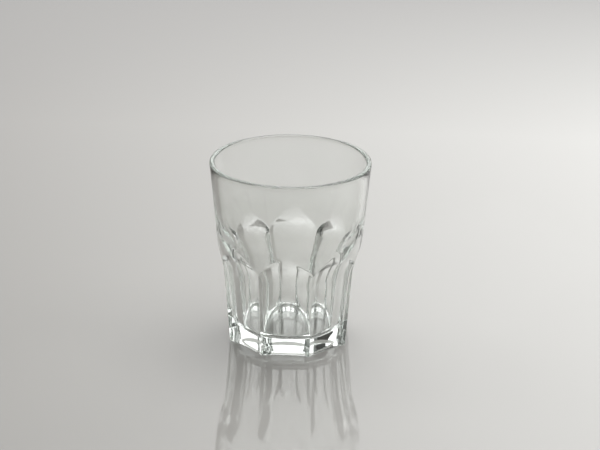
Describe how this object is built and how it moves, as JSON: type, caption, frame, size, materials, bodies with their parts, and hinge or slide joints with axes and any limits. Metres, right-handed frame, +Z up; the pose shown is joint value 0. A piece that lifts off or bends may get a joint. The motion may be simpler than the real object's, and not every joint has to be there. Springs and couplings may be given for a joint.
{
  "type": "shot glass",
  "caption": "Pressed clear glass for a small measure: eight hollow flutes and ridges below, arches at mid height, round flared mouth, thick base.",
  "frame": {"origin": "middle of the foot, on the surface that the glass stands on", "axes": "+Z up along the glass's axis, -Y out of the middle of one flute"},
  "size_m": [0.05, 0.05, 0.058],
  "materials": {
    "clear_glass": "pressed and fire-polished, smooth, clear"
  },
  "bodies": {
    "root": {"glass_body": "clear_glass"}
  },
  "joints": []
}
